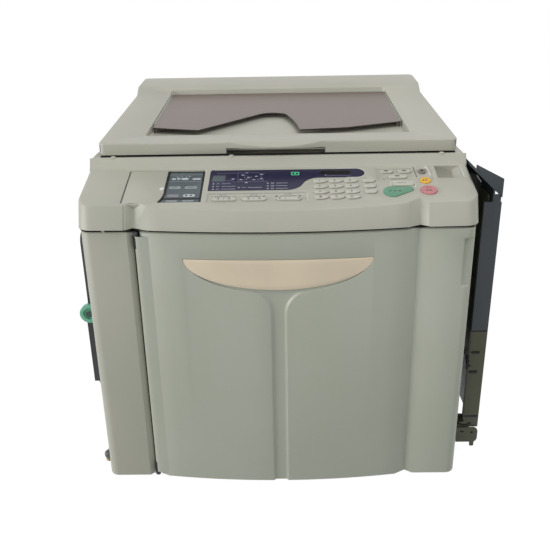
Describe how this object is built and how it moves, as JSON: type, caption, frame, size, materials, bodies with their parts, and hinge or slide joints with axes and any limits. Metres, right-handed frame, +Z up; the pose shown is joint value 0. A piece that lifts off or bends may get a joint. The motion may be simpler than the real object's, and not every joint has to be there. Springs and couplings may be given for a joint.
{
  "type": "digital duplicator",
  "caption": "Office stencil duplicator with a hinged scanner lid, sloped control panel, swinging front door, pull-out print drum and folding paper trays.",
  "frame": {"origin": "centre of the footprint on the floor", "axes": "+X to the viewer's right towards the receiving side, +Y away from the viewer, +Z up"},
  "size_m": [0.76, 0.67, 0.6518],
  "materials": {
    "body_plastic": "fine moulded texture, warm light grey",
    "door_plastic": "fine moulded texture, grey green",
    "frame_steel": "galvanised sheet steel",
    "rubber_black": "moulded",
    "dark_panel": "smooth film over a dark print",
    "clear_glass": "polished",
    "bright_steel": "ground",
    "smoked_sheet": "smoked, translucent",
    "pad_white": "white foam face",
    "tray_dark": "fine moulded texture",
    "tray_olive": "fine moulded texture",
    "dial_green": "moulded, ribbed edge",
    "drum_green": "fine mesh over perforated steel",
    "ink_white": "moulded bottle",
    "roller_rubber": "ground rubber",
    "master_paper": "wound thin film",
    "key_grey": "moulded, smooth",
    "key_green": "moulded, smooth",
    "key_yellow": "moulded, smooth",
    "key_red": "moulded, smooth",
    "motor_black": "enamelled"
  },
  "bodies": {
    "machine": {"main_frame": "frame_steel", "feet": "rubber_black", "left_cover": "body_plastic", "right_cover": "body_plastic", "rear_cover": "body_plastic", "console_housing": "body_plastic", "panel_windows": "dark_panel", "scanner_housing": "body_plastic", "stage_glass": "clear_glass", "scan_rods": "bright_steel", "lid_hinges": "bright_steel", "main_motor": "motor_black"},
    "lid": {"platen_cover": "body_plastic", "pocket_sheet": "smoked_sheet", "platen_pad": "pad_white"},
    "door": {"front_door": "door_plastic"},
    "sub_cover": {"sub_panel_cover": "body_plastic"},
    "carriage": {"scan_carriage": "motor_black"},
    "in_tray": {"feed_tray": "tray_dark"},
    "in_guide_front": {"feed_guide_front": "tray_dark"},
    "in_guide_rear": {"feed_guide_rear": "tray_dark"},
    "dial": {"position_dial": "dial_green"},
    "out_tray": {"receiving_tray": "tray_dark"},
    "out_fence_front": {"fence_front": "tray_olive"},
    "out_fence_rear": {"fence_rear": "tray_olive"},
    "out_stop": {"end_stop": "tray_olive"},
    "drum_unit": {"drum_carrier": "body_plastic", "ink_cartridge": "ink_white"},
    "drum": {"print_drum": "drum_green"},
    "pressing": {"pressure_roller": "roller_rubber"},
    "feeding": {"feed_roller": "roller_rubber"},
    "master": {"master_roll": "master_paper"},
    "waste": {"disposal_box": "tray_dark"},
    "mains": {"power_switch": "rubber_black"},
    "key_one_body": {"key_one": "key_grey"},
    "key_two_body": {"key_two": "key_grey"},
    "key_three_body": {"key_three": "key_grey"},
    "key_four_body": {"key_four": "key_grey"},
    "key_five_body": {"key_five": "key_grey"},
    "key_six_body": {"key_six": "key_grey"},
    "key_seven_body": {"key_seven": "key_grey"},
    "key_eight_body": {"key_eight": "key_grey"},
    "key_nine_body": {"key_nine": "key_grey"},
    "key_star_body": {"key_star": "key_grey"},
    "key_zero_body": {"key_zero": "key_grey"},
    "key_clear_body": {"key_clear": "key_grey"},
    "side_key_1_body": {"side_key_1": "key_grey"},
    "side_key_2_body": {"side_key_2": "key_grey"},
    "side_key_3_body": {"side_key_3": "key_grey"},
    "upper_key_1_body": {"upper_key_1": "key_grey"},
    "upper_key_2_body": {"upper_key_2": "key_grey"},
    "upper_key_3_body": {"upper_key_3": "key_grey"},
    "upper_key_4_body": {"upper_key_4": "key_grey"},
    "proof_key_body": {"proof_key": "key_grey"},
    "start_key_body": {"start_key": "key_green"},
    "reset_key_body": {"reset_key": "key_yellow"},
    "stop_key_body": {"stop_key": "key_red"},
    "function_rocker_1_body": {"function_rocker_1": "key_grey"},
    "function_rocker_2_body": {"function_rocker_2": "key_grey"},
    "function_rocker_3_body": {"function_rocker_3": "key_grey"}
  },
  "joints": [
    {"name": "lid_lift", "type": "hinge", "parent": "machine", "child": "lid", "pos_m": [0, 0.315, 0.592], "axis": [-1, 0, 0], "range_deg": [0, 75]},
    {"name": "door_swing", "type": "hinge", "parent": "machine", "child": "door", "pos_m": [-0.233, -0.308, 0.25], "axis": [0, 0, -1], "range_deg": [0, 110]},
    {"name": "sub_cover_slide", "type": "slide", "parent": "machine", "child": "sub_cover", "axis": [1, 0, 0], "range_m": [0, 0.062]},
    {"name": "carriage_travel", "type": "slide", "parent": "machine", "child": "carriage", "axis": [1, 0, 0], "range_m": [0, 0.41]},
    {"name": "in_tray_fold", "type": "hinge", "parent": "machine", "child": "in_tray", "pos_m": [-0.35, 0, 0.13], "axis": [0, -1, 0], "range_deg": [0, 90]},
    {"name": "in_guide_front_slide", "type": "slide", "parent": "in_tray", "child": "in_guide_front", "axis": [0, 1, 0], "range_m": [0, 0.09]},
    {"name": "in_guide_rear_slide", "type": "slide", "parent": "in_tray", "child": "in_guide_rear", "axis": [0, -1, 0], "range_m": [0, 0.09]},
    {"name": "dial_turn", "type": "hinge", "parent": "in_tray", "child": "dial", "pos_m": [-0.3615, -0.18, 0.283], "axis": [0, -1, 0], "range_deg": [-180, 180]},
    {"name": "out_tray_fold", "type": "hinge", "parent": "machine", "child": "out_tray", "pos_m": [0.35, 0, 0.062], "axis": [0, 1, 0], "range_deg": [0, 80]},
    {"name": "fence_front_fold", "type": "hinge", "parent": "out_tray", "child": "out_fence_front", "pos_m": [0.3602, -0.1715, 0.35], "axis": [0, 0, -1], "range_deg": [0, 90]},
    {"name": "fence_rear_fold", "type": "hinge", "parent": "out_tray", "child": "out_fence_rear", "pos_m": [0.3602, 0.1315, 0.35], "axis": [0, 0, 1], "range_deg": [0, 90]},
    {"name": "end_stop_slide", "type": "slide", "parent": "out_tray", "child": "out_stop", "axis": [0, 0, -1], "range_m": [0, 0.2]},
    {"name": "drum_slide", "type": "slide", "parent": "machine", "child": "drum_unit", "axis": [0, -1, 0], "range_m": [0, 0.345]},
    {"name": "drum_turn", "type": "hinge", "parent": "drum_unit", "child": "drum", "pos_m": [0.046, -0.05, 0.262], "axis": [0, 1, 0], "continuous": true},
    {"name": "pressure_turn", "type": "hinge", "parent": "machine", "child": "pressing", "pos_m": [0.046, -0.02, 0.1434], "axis": [0, 1, 0], "continuous": true},
    {"name": "feed_turn", "type": "hinge", "parent": "machine", "child": "feeding", "pos_m": [-0.255, -0.02, 0.25], "axis": [0, 1, 0], "continuous": true},
    {"name": "master_turn", "type": "hinge", "parent": "machine", "child": "master", "pos_m": [0.205, -0.02, 0.425], "axis": [0, 1, 0], "continuous": true},
    {"name": "waste_slide", "type": "slide", "parent": "machine", "child": "waste", "axis": [-1, 0, 0], "range_m": [0, 0.182]},
    {"name": "mains_rock", "type": "hinge", "parent": "machine", "child": "mains", "pos_m": [0.318, 0.268, 0.12], "axis": [0, 1, 0], "range_deg": [0, 12]},
    {"name": "key_one_press", "type": "slide", "parent": "machine", "child": "key_one_body", "axis": [0, 0.2577, -0.9662], "range_m": [0, 0.0015], "stiffness_N_per_m": 300, "springref_m": -0.001},
    {"name": "key_two_press", "type": "slide", "parent": "machine", "child": "key_two_body", "axis": [0, 0.2577, -0.9662], "range_m": [0, 0.0015], "stiffness_N_per_m": 300, "springref_m": -0.001},
    {"name": "key_three_press", "type": "slide", "parent": "machine", "child": "key_three_body", "axis": [0, 0.2577, -0.9662], "range_m": [0, 0.0015], "stiffness_N_per_m": 300, "springref_m": -0.001},
    {"name": "key_four_press", "type": "slide", "parent": "machine", "child": "key_four_body", "axis": [0, 0.2577, -0.9662], "range_m": [0, 0.0015], "stiffness_N_per_m": 300, "springref_m": -0.001},
    {"name": "key_five_press", "type": "slide", "parent": "machine", "child": "key_five_body", "axis": [0, 0.2577, -0.9662], "range_m": [0, 0.0015], "stiffness_N_per_m": 300, "springref_m": -0.001},
    {"name": "key_six_press", "type": "slide", "parent": "machine", "child": "key_six_body", "axis": [0, 0.2577, -0.9662], "range_m": [0, 0.0015], "stiffness_N_per_m": 300, "springref_m": -0.001},
    {"name": "key_seven_press", "type": "slide", "parent": "machine", "child": "key_seven_body", "axis": [0, 0.2577, -0.9662], "range_m": [0, 0.0015], "stiffness_N_per_m": 300, "springref_m": -0.001},
    {"name": "key_eight_press", "type": "slide", "parent": "machine", "child": "key_eight_body", "axis": [0, 0.2577, -0.9662], "range_m": [0, 0.0015], "stiffness_N_per_m": 300, "springref_m": -0.001},
    {"name": "key_nine_press", "type": "slide", "parent": "machine", "child": "key_nine_body", "axis": [0, 0.2577, -0.9662], "range_m": [0, 0.0015], "stiffness_N_per_m": 300, "springref_m": -0.001},
    {"name": "key_star_press", "type": "slide", "parent": "machine", "child": "key_star_body", "axis": [0, 0.2577, -0.9662], "range_m": [0, 0.0015], "stiffness_N_per_m": 300, "springref_m": -0.001},
    {"name": "key_zero_press", "type": "slide", "parent": "machine", "child": "key_zero_body", "axis": [0, 0.2577, -0.9662], "range_m": [0, 0.0015], "stiffness_N_per_m": 300, "springref_m": -0.001},
    {"name": "key_clear_press", "type": "slide", "parent": "machine", "child": "key_clear_body", "axis": [0, 0.2577, -0.9662], "range_m": [0, 0.0015], "stiffness_N_per_m": 300, "springref_m": -0.001},
    {"name": "side_key_1_press", "type": "slide", "parent": "machine", "child": "side_key_1_body", "axis": [0, 0.2577, -0.9662], "range_m": [0, 0.0015], "stiffness_N_per_m": 300, "springref_m": -0.001},
    {"name": "side_key_2_press", "type": "slide", "parent": "machine", "child": "side_key_2_body", "axis": [0, 0.2577, -0.9662], "range_m": [0, 0.0015], "stiffness_N_per_m": 300, "springref_m": -0.001},
    {"name": "side_key_3_press", "type": "slide", "parent": "machine", "child": "side_key_3_body", "axis": [0, 0.2577, -0.9662], "range_m": [0, 0.0015], "stiffness_N_per_m": 300, "springref_m": -0.001},
    {"name": "upper_key_1_press", "type": "slide", "parent": "machine", "child": "upper_key_1_body", "axis": [0, 0.2577, -0.9662], "range_m": [0, 0.0015], "stiffness_N_per_m": 300, "springref_m": -0.001},
    {"name": "upper_key_2_press", "type": "slide", "parent": "machine", "child": "upper_key_2_body", "axis": [0, 0.2577, -0.9662], "range_m": [0, 0.0015], "stiffness_N_per_m": 300, "springref_m": -0.001},
    {"name": "upper_key_3_press", "type": "slide", "parent": "machine", "child": "upper_key_3_body", "axis": [0, 0.2577, -0.9662], "range_m": [0, 0.0015], "stiffness_N_per_m": 300, "springref_m": -0.001},
    {"name": "upper_key_4_press", "type": "slide", "parent": "machine", "child": "upper_key_4_body", "axis": [0, 0.2577, -0.9662], "range_m": [0, 0.0015], "stiffness_N_per_m": 300, "springref_m": -0.001},
    {"name": "proof_key_press", "type": "slide", "parent": "machine", "child": "proof_key_body", "axis": [0, 0.2577, -0.9662], "range_m": [0, 0.0015], "stiffness_N_per_m": 300, "springref_m": -0.001},
    {"name": "start_key_press", "type": "slide", "parent": "machine", "child": "start_key_body", "axis": [0, 0.2577, -0.9662], "range_m": [0, 0.0015], "stiffness_N_per_m": 300, "springref_m": -0.001},
    {"name": "reset_key_press", "type": "slide", "parent": "machine", "child": "reset_key_body", "axis": [0, 0.2577, -0.9662], "range_m": [0, 0.0015], "stiffness_N_per_m": 300, "springref_m": -0.001},
    {"name": "stop_key_press", "type": "slide", "parent": "machine", "child": "stop_key_body", "axis": [0, 0.2577, -0.9662], "range_m": [0, 0.0015], "stiffness_N_per_m": 300, "springref_m": -0.001},
    {"name": "function_rocker_1_tilt", "type": "hinge", "parent": "machine", "child": "function_rocker_1_body", "pos_m": [-0.0875, -0.28723, 0.5313], "axis": [0, 0.9662, 0.2577], "range_deg": [-4, 4], "stiffness_Nm_per_rad": 0.05},
    {"name": "function_rocker_2_tilt", "type": "hinge", "parent": "machine", "child": "function_rocker_2_body", "pos_m": [-0.038, -0.28723, 0.5313], "axis": [0, 0.9662, 0.2577], "range_deg": [-4, 4], "stiffness_Nm_per_rad": 0.05},
    {"name": "function_rocker_3_tilt", "type": "hinge", "parent": "machine", "child": "function_rocker_3_body", "pos_m": [0.0195, -0.28723, 0.5313], "axis": [0, 0.9662, 0.2577], "range_deg": [-4, 4], "stiffness_Nm_per_rad": 0.05}
  ],
  "couplings": [
    {"joint": "drum_slide", "follows": "door_swing", "m_per_rad": 0.1795},
    {"joint": "waste_slide", "follows": "in_tray_fold", "m_per_rad": 0.115},
    {"joint": "in_guide_rear_slide", "follows": "in_guide_front_slide", "ratio": 1},
    {"joint": "fence_front_fold", "follows": "out_tray_fold", "ratio": 1.125},
    {"joint": "fence_rear_fold", "follows": "out_tray_fold", "ratio": 1.125}
  ]
}
